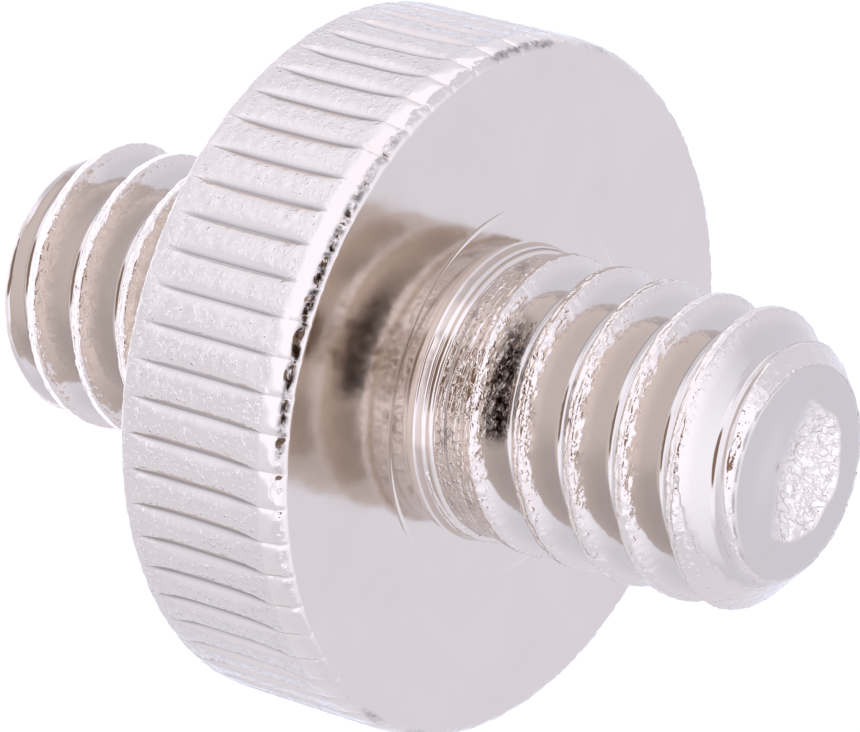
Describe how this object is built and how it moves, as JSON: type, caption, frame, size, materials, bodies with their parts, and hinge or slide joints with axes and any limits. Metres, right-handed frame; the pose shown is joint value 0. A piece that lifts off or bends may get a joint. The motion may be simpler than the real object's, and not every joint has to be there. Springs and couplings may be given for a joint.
{
  "type": "thread adapter screw",
  "caption": "Double-ended male thread adapter: a knurled round flange with a short threaded stud on each side, turned in one piece and nickel plated.",
  "frame": {"origin": "centre of the back stud's end, on which the part stands", "axes": "+Z along the common axis of both studs, towards the front stud's end; -Y is the side that the picture shows"},
  "size_m": [0.015, 0.015, 0.0195],
  "materials": {
    "nickel_plate": "satin"
  },
  "bodies": {
    "root": {"thread_adapter": "nickel_plate"}
  },
  "joints": []
}
